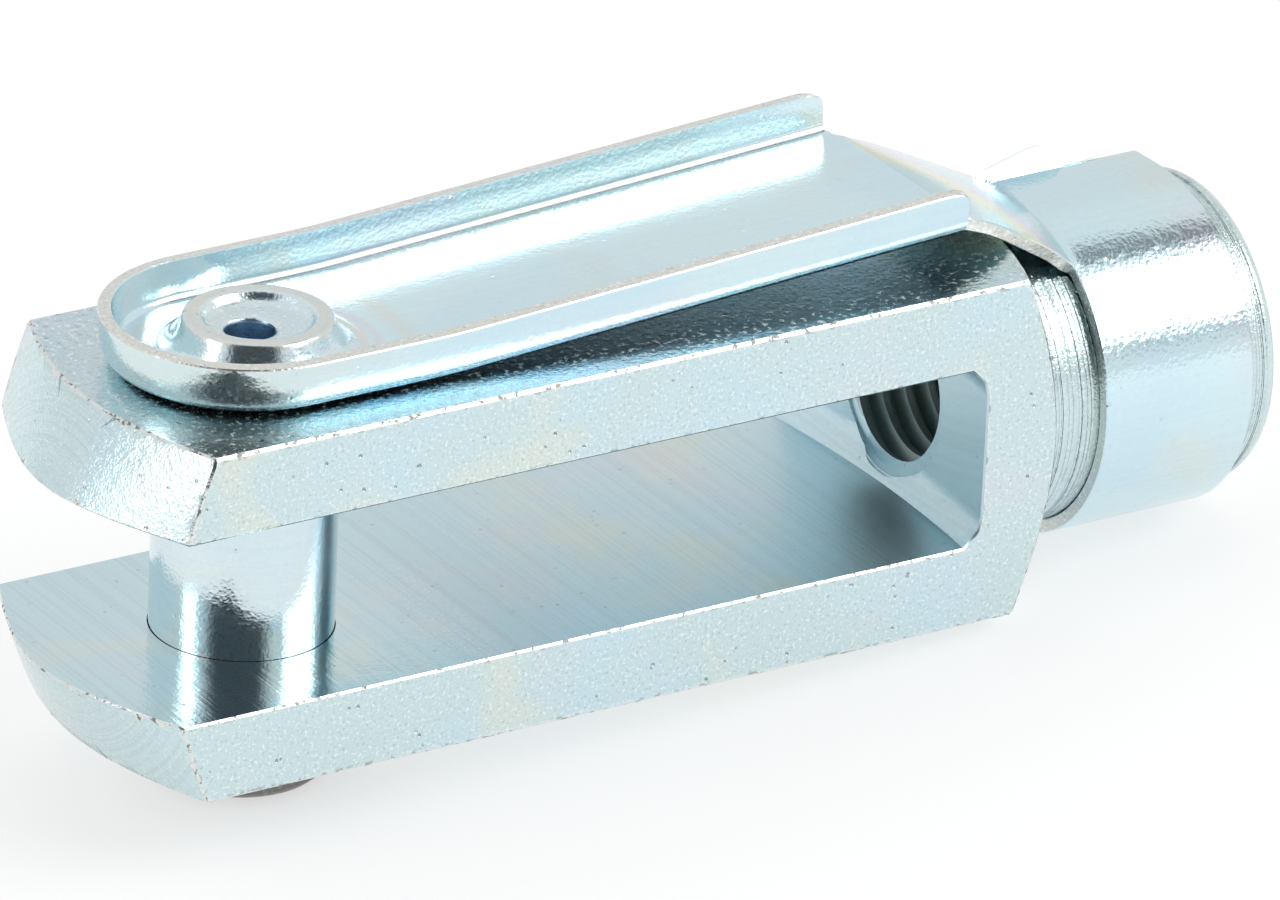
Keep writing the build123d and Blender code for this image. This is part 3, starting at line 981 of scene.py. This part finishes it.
print("studio")
studio = {
    "tent": (0.9, 0.9, 0.9),
    "room": (0.07, 0.08, 0.09),
    # azimuth, height, inner and outer half angle of the darker parts of the room, share
    "dark": [(-126, 26, 24, 42, 1.0), (-126, 52, 16, 30, 0.9), (-4, 61, 4, 10, 0.75),
             (-56, 17, 2, 5, 0.5), (57, 6, 15, 50, 0.08)],
    # azimuth, height, width, length in metres, distance, brightness
    "boxes": [(-45, 38.5, 1.1, 0.85, 1.5, 2.6), (172, 16, 0.45, 0.7, 1.5, 2.2)],
    "floorSize": 3,
    "floorSlope": 4.11,
    "floorTouch": 4.5,
    "floorHeight": -13.6,
    "paper": (0.45, 0.45, 0.45),
    "paperRough": 0.8,
    "paperGlow": 0.6,
    "cameraPlace": (-0.388924, -0.546390, 0.298570),
    "cameraTurn": (1.139960, -0.040031, -0.556519),
    "lens": 372.184,
}


def aim(azimuth, height):
    a, h = radians(azimuth), radians(height)
    return Vector((cos(h) * cos(a), cos(h) * sin(a), sin(h)))


def lightTent():
    # A pale tent all round, with the darker parts of the room showing in its gaps.
    world = bpy.data.worlds.new("studio")
    world.use_nodes = True
    bpy.context.scene.world = world
    tree = world.node_tree
    way = addNode(tree, "TexCoord").outputs["Generated"]
    glow = (*studio["tent"], 1)
    for azimuth, height, inner, outer, share in studio["dark"]:
        near = addNode(tree, "VectorMath", {0: way, 1: aim(azimuth, height)}, operation="DOT_PRODUCT")
        mask = ramp(tree, near.outputs["Value"], cos(radians(outer)), cos(radians(inner)), 0.0, share)
        glow = blend(tree, mask, glow, (*studio["room"], 1))
    tree.links.new(glow, tree.nodes["Background"].inputs["Color"])


def hangSoftboxes():
    for number, (azimuth, height, wide, high, away, bright) in enumerate(studio["boxes"]):
        deselect()
        bpy.ops.object.light_add(type="AREA", location=aim(azimuth, height) * away)
        lamp = bpy.context.object
        lamp.name = "softbox%d" % number
        lamp.data.shape = "RECTANGLE"
        lamp.data.size, lamp.data.size_y = wide, high
        lamp.data.energy = bright * pi * wide * high
        lamp.rotation_euler = aim(azimuth, height).to_track_quat("Z", "Y").to_euler()


def layFloor():
    deselect()
    bpy.ops.mesh.primitive_plane_add(size=studio["floorSize"])
    floor = bpy.context.object
    floor.name = "paleFloor"
    floor.rotation_euler = (0, -radians(studio["floorSlope"]), 0)
    floor.location = ((studio["floorTouch"] + pinPlace) * mm, 0, studio["floorHeight"] * mm)
    paper = bpy.data.materials.new("palePaper")
    paper.use_nodes = True
    paperShader = paper.node_tree.nodes["Principled BSDF"]
    paperShader.inputs["Base Color"].default_value = (*studio["paper"], 1)
    paperShader.inputs["Roughness"].default_value = studio["paperRough"]
    paperShader.inputs["Emission Color"].default_value = (1, 1, 1, 1)
    paperShader.inputs["Emission Strength"].default_value = studio["paperGlow"]
    floor.data.materials.append(paper)


def placeCamera():
    deselect()
    bpy.ops.object.camera_add(location=studio["cameraPlace"], rotation=studio["cameraTurn"])
    camera = bpy.context.object
    camera.data.lens = studio["lens"]
    camera.data.sensor_width = 36
    camera.data.clip_end = 10
    bpy.context.scene.camera = camera


lightTent()
hangSoftboxes()
layFloor()
placeCamera()
bpy.context.scene.view_settings.view_transform = "Standard"
